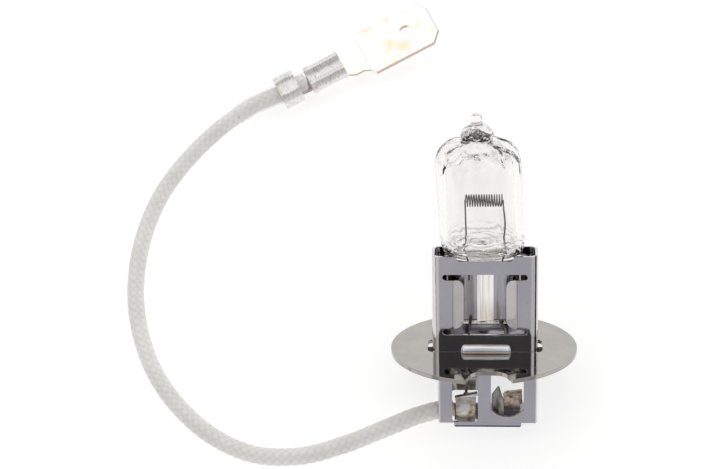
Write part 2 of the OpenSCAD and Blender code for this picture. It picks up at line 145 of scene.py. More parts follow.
def drum(name, radius, low, high, sides=64, axis="Z", at=(0, 0)):
    """A cylinder between two levels along an axis; at is its place across the axis."""
    deselect()
    middle = {"Z": (at[0], at[1], (low + high) / 2), "Y": (at[0], (low + high) / 2, at[1]),
              "X": ((low + high) / 2, at[0], at[1])}[axis]
    turn = {"Z": (0, 0, 0), "Y": (math.pi / 2, 0, 0), "X": (0, math.pi / 2, 0)}[axis]
    bpy.ops.mesh.primitive_cylinder_add(vertices=sides, radius=radius, depth=high - low,
                                        location=middle, rotation=turn)
    return named(name)


def pick(piece, kind, test):
    """Edit mode, with the vertices, edges or faces selected whose points pass the test."""
    activate(piece)
    bpy.ops.object.mode_set(mode="EDIT")
    bpy.ops.mesh.select_mode(type=kind)
    bpy.ops.mesh.select_all(action="DESELECT")
    bpy.ops.object.mode_set(mode="OBJECT")
    mesh = piece.data
    if kind == "VERT":
        for vertex in mesh.vertices:
            vertex.select = test([vertex.co])
    else:
        for part in mesh.edges if kind == "EDGE" else mesh.polygons:
            part.select = test([mesh.vertices[i].co for i in part.vertices])
    bpy.ops.object.mode_set(mode="EDIT")


def edit_all(piece, operation, **values):
    """Runs one operation of edit mode on the whole of a piece's mesh."""
    activate(piece)
    bpy.ops.object.mode_set(mode="EDIT")
    bpy.ops.mesh.select_all(action="SELECT")
    operation(**values)
    bpy.ops.object.mode_set(mode="OBJECT")


def along(axis):
    """A test for edges that run along an axis."""
    others = [k for k in range(3) if k != axis]
    return lambda points: all(abs(points[0][k] - points[1][k]) < 1e-4 for k in others)


def level(axis, value, slack=1e-3):
    """A test for parts that lie at one level of an axis."""
    return lambda points: all(abs(p[axis] - value) < slack for p in points)


def both(*tests):
    return lambda points: all(test(points) for test in tests)


def round_edges(piece, test, radius, segments=5):
    pick(piece, "EDGE", test)
    bpy.ops.mesh.bevel(offset=radius, segments=segments, profile=0.5, clamp_overlap=True)
    bpy.ops.object.mode_set(mode="OBJECT")


def drop_faces(piece, test):
    pick(piece, "FACE", test)
    bpy.ops.mesh.delete(type="FACE")
    bpy.ops.object.mode_set(mode="OBJECT")


def apply(piece, kind, **values):
    """Adds a modifier, sets it and applies it."""
    activate(piece)
    modifier = piece.modifiers.new(kind.lower(), kind)
    for key, value in values.items():
        setattr(modifier, key, value)
    bpy.ops.object.modifier_apply(modifier=modifier.name)


def combine(piece, tool, operation="DIFFERENCE"):
    apply(piece, "BOOLEAN", object=tool, operation=operation, solver="EXACT")
    bpy.data.objects.remove(tool)


def cut_across(piece, axis, *places):
    """Cuts a piece's faces across an axis at each place, so that it can be shaped there."""
    normal = Vector([float(k == axis) for k in range(3)])
    for place in places:
        edit_all(piece, bpy.ops.mesh.bisect, plane_co=normal * place, plane_no=normal)


def thicken(piece, thickness, offset=-1):
    apply(piece, "SOLIDIFY", thickness=thickness, offset=offset, use_even_offset=True)


def soften(piece, width, segments=2, angle=35):
    apply(piece, "BEVEL", width=width, segments=segments, limit_method="ANGLE",
          angle_limit=math.radians(angle), use_clamp_overlap=True, miter_outer="MITER_ARC")
    smooth(piece, 60)
    apply(piece, "WEIGHTED_NORMAL", mode="FACE_AREA", weight=100, keep_sharp=True)


def smooth(piece, angle=35):
    activate(piece)
    bpy.ops.object.shade_smooth_by_angle(angle=math.radians(angle))


def outwards(piece):
    """Welds points that coincide and turns the faces outwards."""
    activate(piece)
    bpy.ops.object.mode_set(mode="EDIT")
    bpy.ops.mesh.select_all(action="SELECT")
    bpy.ops.mesh.remove_doubles(threshold=1e-4)
    bpy.ops.mesh.normals_make_consistent(inside=False)
    bpy.ops.object.mode_set(mode="OBJECT")


def join(name, *pieces):
    deselect()
    for piece in pieces:
        piece.select_set(True)
    bpy.context.view_layer.objects.active = pieces[0]
    bpy.ops.object.join()
    pieces[0].name = name
    pieces[0].data.name = name
    return pieces[0]


def share(value, start, span):
    """How far a value is along a span from its start, from 0 to 1."""
    return min(max((value - start) / span, 0), 1)


def paint(finish, *pieces):
    for piece in pieces:
        piece.data.materials.append(finish)


def turn(piece, degrees, axis, centre):
    """Turns a piece's mesh about a line through a point."""
    centre = Vector(centre)
    about = Matrix.Translation(centre) @ Matrix.Rotation(math.radians(degrees), 4, axis)
    piece.matrix_world = about @ Matrix.Translation(-centre)
    activate(piece)
    bpy.ops.object.transform_apply(location=True, rotation=True, scale=True)


def settle(piece, local, material, slot, *nodes):
    """Puts a finished piece in the frame, gives it its finish and hides the nodes it stands for."""
    piece.matrix_world = local
    activate(piece)
    bpy.ops.object.transform_apply(location=True, rotation=True, scale=True)
    if material not in [s.material for s in piece.material_slots]:
        piece.data.materials.append(material)
    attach(piece, "root")
    if nodes:
        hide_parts(*nodes)
    return piece


def strip(name, points, shape, closed=True):
    """A tube through the points, with a ring at each: shape(i, angle) is the radius of ring i."""
    tangents = [(points[min(i + 1, len(points) - 1)] - points[max(i - 1, 0)]).normalized()
                for i in range(len(points))]
    side = tangents[0].orthogonal().normalized()
    vertices, faces = [], []
    count = shape.sides
    for i, (point, tangent) in enumerate(zip(points, tangents)):
        side = (side - tangent * side.dot(tangent)).normalized()
        up = tangent.cross(side)
        for k in range(count):
            angle = 2 * math.pi * k / count
            vertices.append(point + (side * math.cos(angle) + up * math.sin(angle)) * shape(i, angle))
    for i in range(len(points) - 1):
        for k in range(count):
            m = (k + 1) % count
            a, b = i * count, (i + 1) * count
            faces.append((a + k, a + m, b + m, b + k))
    if closed:
        last = (len(points) - 1) * count
        faces.append(tuple(reversed(range(count))))
        faces.append(tuple(range(last, last + count)))
    mesh = bpy.data.meshes.new(name)
    mesh.from_pydata(vertices, [], faces)
    piece = bpy.data.objects.new(name, mesh)
    bpy.context.scene.collection.objects.link(piece)
    activate(piece)
    return piece


class Round:
    """A round section of one radius."""

    def __init__(self, radius, sides):
        self.radius, self.sides = radius, sides

    def __call__(self, i, angle):
        return self.radius


def curve_through(points, spacing):
    """Points on a smooth curve through the given ones, an even spacing apart."""
    ends = [2 * points[0] - points[1]] + list(points) + [2 * points[-1] - points[-2]]
    fine = []
    for a, b, c, d in zip(ends, ends[1:], ends[2:], ends[3:]):
        for step in range(20):
            t = step / 20
            fine.append(0.5 * (2 * b + (c - a) * t + (2 * a - 5 * b + 4 * c - d) * t ** 2
                               + (3 * b - a - 3 * c + d) * t ** 3))
    fine.append(points[-1])
    lengths = [0]
    for a, b in zip(fine, fine[1:]):
        lengths.append(lengths[-1] + (b - a).length)
    count = round(lengths[-1] / spacing)
    result, j = [], 0
    for i in range(count + 1):
        want = lengths[-1] * i / count
        while j < len(fine) - 2 and lengths[j + 1] < want:
            j += 1
        result.append(fine[j].lerp(fine[j + 1], share(want, lengths[j], lengths[j + 1] - lengths[j])))
    return result


def round_wire(name, points, spacing, radius, sides):
    wire = strip(name, curve_through([Vector(p) for p in points], spacing), Round(radius, sides))
    smooth(wire, 60)
    return wire


# ---- finishes ----

class Finish:
    """A material built up node by node round one principled shader."""

    def __init__(self, name, **values):
        self.material = bpy.data.materials.new(name)
        self.material.use_nodes = True
        self.tree = self.material.node_tree
        self.shader = self.tree.nodes["Principled BSDF"]
        self.height = None
        for key, value in values.items():
            self.shader.inputs[key.replace("_", " ")].default_value = value

    def node(self, kind, inputs=(), **settings):
        made = self.tree.nodes.new(kind)
        for key, value in settings.items():
            setattr(made, key, value)
        for key, value in dict(inputs).items():
            if isinstance(value, bpy.types.NodeSocket):
                self.tree.links.new(value, made.inputs[key])
            else:
                made.inputs[key].default_value = value
        return made

    def place(self, scale=(1, 1, 1), turn=LEAN):
        """Millimetres along the bulb's own axes, or those of the given turn, stretched for a pattern."""
        spot = self.node("ShaderNodeTexCoord").outputs["Object"]
        inputs = {"Vector": spot, "Scale": [MM / s for s in scale], "Rotation": turn}
        return self.node("ShaderNodeMapping", inputs, vector_type="TEXTURE").outputs["Vector"]

    def grain(self, scale, stretch=(1, 1, 1), turn=LEAN, detail=3, roughness=0.5):
        spot = self.place(stretch, turn)
        return self.node("ShaderNodeTexNoise", {"Vector": spot, "Scale": scale, "Detail": detail,
                                                "Roughness": roughness}).outputs["Fac"]

    def ramp(self, value, *stops):
        made = self.node("ShaderNodeValToRGB", {"Fac": value})
        elements = made.color_ramp.elements
        while len(elements) < len(stops):
            elements.new(0.5)
        for element, (place, colour) in zip(elements, stops):
            element.position = place
            element.color = (*colour, 1) if len(colour) == 3 else colour
        return made.outputs["Color"]

    def mix(self, factor, a, b, mode="MIX"):
        made = self.node("ShaderNodeMix", {0: factor, 6: a, 7: b}, data_type="RGBA", blend_type=mode)
        return made.outputs[2]

    def span(self, value, low, high):
        return self.node("ShaderNodeMapRange", {"Value": value, "To Min": low, "To Max": high}).outputs[0]

    def height_up(self):
        """Height over the seat face, in millimetres."""
        return self.node("ShaderNodeSeparateXYZ", {0: self.place()}).outputs["Z"]

    def spread(self, value, low, high):
        """0 to 1 as a value goes from low to high."""
        return self.node("ShaderNodeMapRange", {"Value": value, "From Min": low, "From Max": high},
                         interpolation_type="SMOOTHSTEP").outputs[0]

    def window(self, value, low, full, end, gone):
        """Rises to 1 between low and full, and falls again between end and gone."""
        rise, fall = self.spread(value, low, full), self.spread(value, gone, end)
        return self.calculate("MULTIPLY", rise, fall)

    def calculate(self, operation, a, b=0.0):
        return self.node("ShaderNodeMath", {0: a, 1: b}, operation=operation).outputs[0]

    def into(self, socket, value):
        self.tree.links.new(value, self.shader.inputs[socket])

    def bump(self, value, depth):
        """Adds a height, in millimetres, to the bumps that are already there."""
        if isinstance(depth, bpy.types.NodeSocket):
            depth = self.calculate("MULTIPLY", depth, MM)
        else:
            depth *= MM
        inputs = {"Height": value, "Distance": depth, "Strength": 1.0}
        if self.height:
            inputs["Normal"] = self.height
        self.height = self.node("ShaderNodeBump", inputs).outputs["Normal"]
        self.into("Normal", self.height)

    def from_pattern(self, pattern, roughness, depth, *stops, relief=None):
        """Colour and roughness that follow one pattern, and relief too unless it has its own."""
        self.into("Base Color", self.ramp(pattern, *stops))
        self.into("Roughness", self.span(pattern, *roughness))
        self.bump(relief or pattern, depth)
        return self.material


def polished_sheet():
    """Bright rolled sheet: faint clouds of tint, fine rolling lines and a few specks."""
    f = Finish("polished_sheet", Metallic=1.0)
    cloud = f.grain(0.35, detail=2)
    tint = f.ramp(cloud, (0.3, (0.63, 0.62, 0.645)), (0.7, (0.70, 0.69, 0.705)))
    specks = f.ramp(f.grain(3.2, detail=1), (0.17, (0.5, 0.44, 0.4)), (0.22, (1, 1, 1)))
    f.into("Base Color", f.mix(1.0, tint, specks, "MULTIPLY"))
    lines = f.grain(1.2, (6, 6, 0.5))
    f.into("Roughness", f.span(lines, 0.05, 0.13))
    f.bump(lines, 0.003)
    f.bump(cloud, 0.06)
    return f.material


def flange_steel():
    """Pressed steel with a warm cast, a soft grain and light handling marks."""
    f = Finish("flange_steel", Metallic=1.0)
    cloud = f.grain(0.3, detail=3)
    tint = f.ramp(cloud, (0.3, (0.375, 0.355, 0.328)), (0.7, (0.423, 0.404, 0.38)))
    marks = f.ramp(f.grain(2.2, (1, 4, 1), detail=4), (0.25, (0.82, 0.8, 0.76)), (0.42, (1, 1, 1)))
    f.into("Base Color", f.mix(1.0, tint, marks, "MULTIPLY"))
    f.into("Roughness", f.span(f.grain(1.5, detail=4), 0.03, 0.09))
    f.bump(f.grain(0.8), 0.008)
    f.bump(f.grain(14, detail=2), 0.0008)
    return f.material


def heat_tinted_steel():
    """Bright metal with straw, brown and blue heat tints in blotches."""
    f = Finish("heat_tinted_steel", Metallic=1.0)
    blotch = f.grain(0.9, detail=4, roughness=0.6)
    f.into("Base Color", f.ramp(blotch, (0.27, (0.08, 0.055, 0.045)), (0.36, (0.34, 0.22, 0.13)),
                                (0.42, (0.72, 0.60, 0.44)), (0.5, (0.86, 0.83, 0.79)),
                                (0.68, (0.95, 0.95, 0.96))))
    f.into("Roughness", f.span(f.grain(3, detail=4), 0.25, 0.5))
    f.bump(f.grain(2.5, detail=4), 0.03)
    return f.material


def scorched_clip():
    """Brown oxidised metal with a coarse crust."""
    f = Finish("scorched_clip", Metallic=0.85)
    return f.from_pattern(f.grain(1.8, detail=5, roughness=0.65), (0.25, 0.55), 0.2,
                          (0.30, (0.05, 0.03, 0.02)), (0.41, (0.27, 0.16, 0.10)),
                          (0.49, (0.60, 0.46, 0.35)), (0.62, (0.84, 0.75, 0.66)))


def worn_steel():
    """Plain steel gone dull and a little olive, with darker smears."""
    f = Finish("worn_steel", Metallic=1.0)
    return f.from_pattern(f.grain(1.1, (1, 1, 0.5), detail=4), (0.3, 0.5), 0.01,
                          (0.36, (0.16, 0.155, 0.13)), (0.5, (0.42, 0.415, 0.385)),
                          (0.7, (0.52, 0.515, 0.49)), relief=f.grain(5, detail=3))


def bead_painted_reflections():
    """The pressed bead, banded by height: a painted highlight on top, painted lilac and grey reflections
    lower down, straw lines along both edges.
    """
    f = Finish("bead_painted_reflections", Metallic=0.3)
    rise = f.calculate("ADD", f.height_up(), f.span(f.grain(0.5), -0.1, 0.1))
    # painted highlight and painted reflections: white, grey and lilac bands set by height over the seat face
    painted_reflection_bands = f.ramp(f.spread(rise, 0.0, 1.0), (0.0, (0.36, 0.24, 0.14)), (0.1, (0.93, 0.92, 0.90)),
                   (0.16, (0.40, 0.38, 0.37)), (0.26, (0.42, 0.43, 0.56)), (0.38, (0.95, 0.95, 1.0)),
                   (0.9, (0.96, 0.96, 0.98)), (1.0, (0.42, 0.31, 0.24)))
    f.into("Base Color", painted_reflection_bands)
    f.into("Roughness", f.span(f.grain(1.2, (0.3, 1, 1)), 0.15, 0.3))
    return f.material


def crimp_painted_streaks():
    """Tin on the crimps, with painted highlight and painted reflection streaks in white and grey-blue, and
    straw streaks, across the crimp.
    """
    f = Finish("crimp_painted_streaks", Metallic=0.45)
    # painted highlight and reflection: white and grey-blue streaks in the colour
    return f.from_pattern(f.grain(0.9, (12, 1, 1), AT_TERMINAL.to_euler(), detail=2), (0.25, 0.45), 0.01,
                          (0.33, (0.60, 0.48, 0.32)), (0.42, (0.99, 0.97, 0.93)), (0.52, (1, 1, 0.99)),
                          (0.6, (0.72, 0.73, 0.76)), (0.7, (0.98, 0.96, 0.93)),
                          relief=f.grain(4, detail=3))


def blued_edge():
    """Steel turned deep blue by heat, streaked along its length."""
    f = Finish("blued_edge", Metallic=1.0)
    return f.from_pattern(f.grain(1.5, (0.3, 1, 1), detail=3), (0.2, 0.4), 0.02,
                          (0.35, (0.02, 0.03, 0.10)), (0.6, (0.07, 0.08, 0.24)))


def sooty_wire_and_seam_shade():
    """Lead wire gone dark with heat, browner in patches; the same dark finish on the seam blocks is painted
    shade.
    """
    f = Finish("sooty_wire_and_seam_shade", Metallic=1.0)
    return f.from_pattern(f.grain(1.3, (1, 1, 0.6), detail=4), (0.2, 0.45), 0.01,
                          (0.35, (0.07, 0.06, 0.065)), (0.55, (0.17, 0.16, 0.18)),
                          (0.7, (0.30, 0.24, 0.20)), relief=f.grain(6, detail=2))


def weld_bead():
    """The crust on the lug's weld: brown with paler grains."""
    f = Finish("weld", Metallic=0.9)
    return f.from_pattern(f.grain(1.6, detail=5), (0.2, 0.5), 0.12, (0.35, (0.06, 0.04, 0.03)),
                          (0.55, (0.30, 0.22, 0.15)), (0.7, (0.55, 0.5, 0.45)))


def burnt_weld():
    """The crust on the tack welds: black-brown and dull."""
    f = Finish("burnt_weld", Metallic=0.2)
    return f.from_pattern(f.grain(2.5, detail=4), (0.5, 0.8), 0.08,
                          (0.35, (0.03, 0.025, 0.022)), (0.65, (0.12, 0.09, 0.07)))


def quartz():
    """Clear fused quartz: draw lines along the pinch, smoky wrinkles on the bulge round the tip."""
    f = Finish("quartz", Roughness=0.0, IOR=1.46, Transmission_Weight=1.0)
    height = f.height_up()
    bulge = f.window(height, 23.4, 24.6, 27.2, 27.7)
    dome = f.window(height, 22.0, 24.0, 25.2, 26.0)
    pinch = f.window(height, 2.0, 3.0, 9.6, 10.2)
    crumple = f.ramp(f.grain(1.15, (1, 1, 1.6), detail=5, roughness=0.62),
                     (0.38, (0.84, 0.83, 0.81)), (0.46, (0.96, 0.95, 0.94)), (0.54, (0.98, 0.98, 0.98)),
                     (0.60, (0.93, 0.92, 0.90)), (0.66, (0.98, 0.98, 0.98)))
    smoke = f.ramp(f.grain(0.42, detail=4, roughness=0.6), (0.38, (0.90, 0.89, 0.88)), (0.58, (1, 1, 1)))
    lines = f.ramp(f.grain(2.6, (1, 1, 0.03), detail=2), (0.40, (0.62, 0.60, 0.56)), (0.50, (1, 1, 1)))
    amber = f.ramp(f.spread(height, 4.0, 6.6), (0, (0.67, 0.62, 0.575)), (1, (0.835, 0.835, 0.81)))
    colour = f.mix(bulge, (0.942, 0.937, 0.93, 1), crumple)
    colour = f.mix(dome, colour, f.mix(1.0, colour, smoke, "MULTIPLY"))
    drawn = f.mix(1.0, lines, amber, "MULTIPLY")
    f.into("Base Color", f.mix(pinch, colour, drawn))
    f.bump(f.grain(0.5, (1, 1, 0.35), detail=2), 0.015)
    f.bump(f.grain(1.7, detail=3), f.calculate("MULTIPLY", bulge, 0.1))
    return f.material


def pressed_quartz():
    """The inside of the quartz: flow lines round the mound on the floor and folds under the roof."""
    f = Finish("pressed_quartz", Roughness=0.0, IOR=1.46, Transmission_Weight=1.0)
    height = f.height_up()
    floor = f.window(height, 8.0, 9.0, 13.9, 14.6)
    roof = f.window(height, 21.9, 22.7, 27.0, 28.0)
    swirl = f.grain(0.8, (0.35, 1.2, 1), detail=3)
    waved = f.calculate("ADD", height, f.span(swirl, -0.9, 0.9))
    rings = f.calculate("SINE", f.calculate("MULTIPLY", waved, 9.0))
    rings = f.node("ShaderNodeMapRange", {"Value": rings, "From Min": -1.0, "From Max": 1.0}).outputs[0]
    flow = f.ramp(rings, (0.05, (0.48, 0.47, 0.45)), (0.28, (0.76, 0.75, 0.73)), (0.6, (0.94, 0.94, 0.93)))
    folds = f.ramp(f.grain(0.75, (0.6, 1, 1.5), detail=5, roughness=0.6),
                   (0.36, (0.86, 0.85, 0.84)), (0.46, (0.95, 0.94, 0.93)), (0.53, (0.99, 0.99, 0.99)),
                   (0.585, (0.91, 0.90, 0.89)), (0.63, (0.98, 0.98, 0.97)))
    colour = f.mix(floor, (0.942, 0.937, 0.93, 1), flow)
    f.into("Base Color", f.mix(roof, colour, folds))
    f.bump(rings, f.calculate("MULTIPLY", floor, 0.03))
    f.bump(f.grain(0.9, detail=3), f.calculate("MULTIPLY", roof, 0.08))
    return f.material


def tungsten():
    """Drawn wire, dull and dark."""
    f = Finish("tungsten", Metallic=1.0)
    return f.from_pattern(f.grain(3, (1, 1, 4)), (0.35, 0.6), 0.01,
                          (0.3, (0.17, 0.165, 0.16)), (0.7, (0.36, 0.355, 0.35)))


def molybdenum():
    """Thin foil: grey, nearly a mirror, with creases along its length."""
    f = Finish("molybdenum", Metallic=1.0)
    return f.from_pattern(f.grain(0.8, (4, 1, 0.4), detail=3), (0.1, 0.25), 0.02,
                          (0.3, (0.74, 0.74, 0.80)), (0.7, (0.92, 0.92, 0.97)))


def tinned_brass():
    """Bright tin over brass, with a golden cast where the tin is thin."""
    f = Finish("tinned_brass", Metallic=1.0)
    thin = f.grain(0.5, (1, 1, 1), detail=4)
    tint = f.ramp(thin, (0.3, (0.90, 0.80, 0.62)), (0.42, (0.93, 0.91, 0.87)), (0.7, (0.95, 0.95, 0.94)))
    f.into("Base Color", tint)
    f.into("Roughness", f.span(f.grain(2, (1, 5, 1), (0, 0, 0.47), detail=4), 0.12, 0.26))
    f.bump(f.grain(6, detail=2), 0.004)
    return f.material


def sheared_brass():
    """The cut edge of the terminal, where the brass shows through."""
    f = Finish("sheared_brass", Metallic=1.0)
    return f.from_pattern(f.grain(3, (1, 1, 6), detail=3), (0.25, 0.45), 0.02,
                          (0.3, (0.52, 0.36, 0.26)), (0.7, (0.70, 0.52, 0.40)))


def glass_fibre_braid():
    """Off-white braid, with painted shade that greys it down in the gaps between its strands, and fine
    fibres along them.
    """
    f = Finish("glass_fibre_braid", Sheen_Weight=0.25, Sheen_Roughness=0.5, Specular_IOR_Level=0.25)
    gaps = f.node("ShaderNodeAttribute", attribute_name="relief").outputs["Fac"]
    # painted shade: the colour is darker where the relief is low, down in the gaps between the strands
    painted_gap_shade = f.ramp(gaps, (0.0, (0.66, 0.64, 0.59)), (0.35, (0.86, 0.855, 0.82)), (0.8, (0.97, 0.965, 0.95)))
    soil = f.ramp(f.grain(0.25, detail=3), (0.35, (0.93, 0.92, 0.89)), (0.6, (1, 1, 1)))
    f.into("Base Color", f.mix(1.0, painted_gap_shade, soil, "MULTIPLY"))
    f.into("Roughness", f.span(gaps, 0.9, 0.65))
    f.bump(f.grain(9, (1, 1, 1), detail=3), 0.02)
    return f.material


def clear_sleeving():
    """Milky clear sleeving with a wavy, slightly dull surface."""
    f = Finish("clear_sleeving", IOR=1.3)
    cloud = f.grain(0.9, detail=3)
    f.into("Base Color", f.ramp(cloud, (0.3, (0.98, 0.98, 0.98)), (0.7, (1, 1, 1))))
    f.into("Roughness", f.span(cloud, 0.2, 0.4))
    f.into("Alpha", f.span(cloud, 0.05, 0.3))
    f.bump(cloud, 0.08)
    return f.material


def copper_strand():
    """Twisted copper strands."""
    f = Finish("copper_strand", Metallic=1.0)
    return f.from_pattern(f.grain(2.5, (3, 3, 1), detail=2), (0.25, 0.45), 0.05,
                          (0.3, (0.45, 0.24, 0.14)), (0.7, (0.72, 0.45, 0.3)))


def pale_bench():
    """A pale bench, a little bright in itself, so that shadows on it stay faint."""
    f = Finish("pale_bench", Emission_Strength=0.64, Specular_IOR_Level=0.0)
    cloud = f.grain(0.01, detail=2)
    f.into("Base Color", f.ramp(cloud, (0.3, (0.54, 0.54, 0.537)), (0.7, (0.56, 0.56, 0.557))))
    f.into("Roughness", f.span(cloud, 0.7, 0.9))
    f.shader.inputs["Emission Color"].default_value = (1, 1, 1, 1)
    return f.material


# ---- the lead ----

def lead_path():
    """The lead's route: out of the cage, along the bench and into the terminal."""
    out = [(-3.7, -0.2, FOOT + 1.7), (-5.5, -0.6, FOOT + 1.5)]
    route = [
        (-8, -6.8, 2.7), (-10.4, -7.7, 2.4), (-13.1, -8.7, 1.9), (-16.7, -10, 1.3),
        (-21.9, -11.4, 1.1), (-27.4, -11.3, 1.1), (-32.4, -9.2, 1.1), (-36.6, -5.8, 1.1),
        (-40, -1.5, 1.1), (-42.3, 3.4, 1.1), (-43.6, 8.7, 1.1), (-43.8, 14.2, 1.1),
        (-43, 19.6, 1.1), (-41.2, 24.7, 1.1), (-38.3, 29.4, 1.1), (-34.7, 33.5, 1.3),
        (-30.4, 36.9, 1.6)]
    last = [(0.2, 0, 1.85), (2.7, 0, 1.85), (3.6, 0, 1.55)]
    points = [LYING @ Vector(p) for p in out]
    points += [Vector((x, y, h)) * MM + Vector((0, 0, BENCH)) for x, y, h in route]
    points += [AT_TERMINAL @ Vector(p) for p in last]
    return points


class Braid:
    """The section of a braided tube: two sets of strands that wind both ways, over and under."""

    def __init__(self, radius, spacing, strands, pitch, depth, sides):
        self.radius, self.spacing = radius, spacing
        self.strands, self.pitch, self.depth, self.sides = strands, pitch, depth, sides

    def relief(self, i, angle):
        """0 in a gap and 1 on the crown of a strand."""
        along_tube = i * self.spacing / self.pitch * self.strands
        round_tube = angle / (2 * math.pi) * self.strands
        one, two = round_tube + along_tube, round_tube - along_tube
        return max(self.strand(one, two), 0.72 * self.strand(two, one + 1))

    @staticmethod
    def strand(across, length):
        """The height of one strand, rounded across it and dipping under the others along it."""
        crown = math.sqrt(max(0, 1 - (2 * (across % 1) - 1) ** 2))
        over = math.sin(math.pi * (length + math.floor(across)))
        return 0.62 * crown + 0.38 * over * crown

    def __call__(self, i, angle):
        return self.radius - self.depth * (1 - self.relief(i, angle))


def make_lead(path, braid_finish):
    """The braid, its strands real in the mesh, with how high each point stands kept for its finish."""
    spacing = 0.11
    points = curve_through([p / MM for p in path], spacing)
    braid = Braid(1.1, spacing, 7, 7.0, 0.11, 60)
    lead = strip("braided_lead", points, braid)
    relief = lead.data.attributes.new("relief", "FLOAT", "POINT")
    values = [max(0, braid.relief(i, 2 * math.pi * k / braid.sides))
              for i in range(len(points)) for k in range(braid.sides)]
    relief.data.foreach_set("value", values)
    smooth(lead, 60)
    settle(lead, Matrix.Scale(MM, 4), braid_finish, "glass_fibre_braid", "cable_jacket")
    return lead, [p * MM for p in points]


def make_clear_sleeve(path, sleeving):
    """Clear sleeving over the end of the braid, slightly wavy, drawn in by the crimp."""
    spacing, covered, free = 0.2, 10.2, 5.6
    points = curve_through([p / MM for p in path], spacing)
    onward = (points[-1] - points[-2]).normalized() * 0.18
    run = points[-round(covered / spacing):] + [points[-1] + onward * step for step in (1, 2)]

    class Wavy:
        sides = 40

        def __call__(self, i, angle):
            near_crimp = share(i * spacing, free, 0.6)
            wave = 0.04 * math.sin(i * 0.44 + 2 * math.cos(angle)) + 0.03 * math.sin(3 * angle + i * 0.3)
            return 1.32 + wave * (1 - near_crimp) + 0.05 * near_crimp

    outer = strip("clear_sleeve", run, Wavy(), closed=False)
    thicken(outer, 0.12, -1)
    smooth(outer, 50)
    return settle(outer, Matrix.Scale(MM, 4), sleeving, "clear_sleeving", "shrink_sleeve")


# ---- the terminal ----

def make_terminal(tin, brass, crimped):
    """A flag of tinned brass with a blade, a neck and two rolled crimps."""
    length = term_high.x - term_low.x
    blade_start, blade_half, blade_t = 12.2, 3.15, 0.8
    blade = block("blade", (blade_start, -blade_half, 0), (length, blade_half, blade_t))
    round_edges(blade, both(along(2), level(0, length)), 1.2, 1)
    pick(blade, "EDGE", both(along(2), level(0, blade_start)))
    bpy.ops.mesh.bevel(offset=0.5, segments=1)
    bpy.ops.object.mode_set(mode="OBJECT")
    for top in (0, blade_t):
        pick(blade, "EDGE", both(level(2, top), lambda p: p[0].x > length - 1.3 and p[1].x > length - 1.3))
        bpy.ops.mesh.bevel(offset=0.24, segments=1)
        bpy.ops.object.mode_set(mode="OBJECT")
    drill = drum("drill", 0.95, -1, 2, 48, at=(length - 4, 0))
    combine(blade, drill)
    soften(blade, 0.06, 2, 30)
    neck = make_neck(blade_start)
    conductor = rolled_crimp("conductor_crimp", 4.2, 4.9, 1.85, 1.25, 0.4, 0.55, 0.16)
    grip = rolled_crimp("insulation_crimp", 0, 2.7, 2.2, 1.85, 0.4, 0.35, 0.0)
    terminal = join("blade_terminal", blade, neck, conductor, grip)
    for finish in (tin, brass, crimped):
        paint(finish, terminal)
    for face in terminal.data.polygons:
        at = face.center
        if abs(face.normal.y) > 0.8 and at.x > 9.2 and 0.05 < at.z < 0.75:
            face.material_index = 1
        # the crimp faces take the finish with painted highlight and reflection streaks
        elif at.x < 9.15 and (at.z > 0.45 or abs(at.y) > 1.3):
            face.material_index = 2
    return settle(terminal, AT_TERMINAL, tin, "tinned_brass", "spade_terminal")


def make_neck(blade_start):
    """The strap under the crimps and the neck that widens into the blade."""
    neck = block("neck", (0.1, -1.95, 0), (blade_start + 0.4, 1.95, 0.4))
    cut_across(neck, 0, 2.9, 4.0, 9.3, 10.2, 11.4)
    widths = {0.1: 1.0, 2.9: 1.0, 4.0: 1.1, 9.3: 1.5, 10.2: 1.95, 11.4: 2.0, blade_start + 0.4: 2.65}
    lifts = {blade_start + 0.4: 0.25, 11.4: 0.1}
    for vertex in neck.data.vertices:
        x = min(widths, key=lambda w: abs(w - vertex.co.x))
        vertex.co.y = math.copysign(widths[x], vertex.co.y)
        vertex.co.z += lifts.get(x, 0)
    soften(neck, 0.05, 2, 30)
    return neck


def rolled_crimp(name, start, length, half_w, half_h, sheet, seam, flare):
    """A strap rolled round the wire until its two edges meet in a groove along the top."""
    deselect()
    bpy.ops.mesh.primitive_cylinder_add(vertices=48, radius=1, depth=length, end_fill_type="NOTHING",
                                        location=(start + length / 2, 0, 0), rotation=(0, math.pi / 2, 0))
    crimp = named(name)
    cut_across(crimp, 0, *(start + length * part for part in (0.12, 0.25, 0.5, 0.75, 0.88)))
    for vertex in crimp.data.vertices:
        angle = math.atan2(vertex.co.z, vertex.co.y)
        y, z = math.cos(angle), math.sin(angle)
        flat = 0.86 if z < 0 else 1
        groove = seam * max(0, 1 - (y / 0.32) ** 2) if z > 0 else 0
        end = abs(vertex.co.x - start - length / 2) / (length / 2)
        grown = 1 + flare * max(0, end - 0.7) / 0.3 * 0.5
        vertex.co.y = half_w * math.copysign(abs(y) ** 0.8, y) * grown
        vertex.co.z = half_h + (half_h * math.copysign(abs(z) ** 0.75, z) * flat - groove * 0.75) * grown
        if z < 0:
            vertex.co.z = max(vertex.co.z, 0)
    outwards(crimp)
    thicken(crimp, sheet, -1)
    soften(crimp, 0.05, 2, 45)
    return crimp


# ---- the glass ----

def ring_point(angle, half_w, half_d, power):
    """A point on a rounded rectangle: power 2 is an ellipse and a high power is nearly square."""
    c, s = math.cos(angle), math.sin(angle)
    return (half_w * math.copysign(abs(c) ** (2 / power), c),
            half_d * math.copysign(abs(s) ** (2 / power), s))


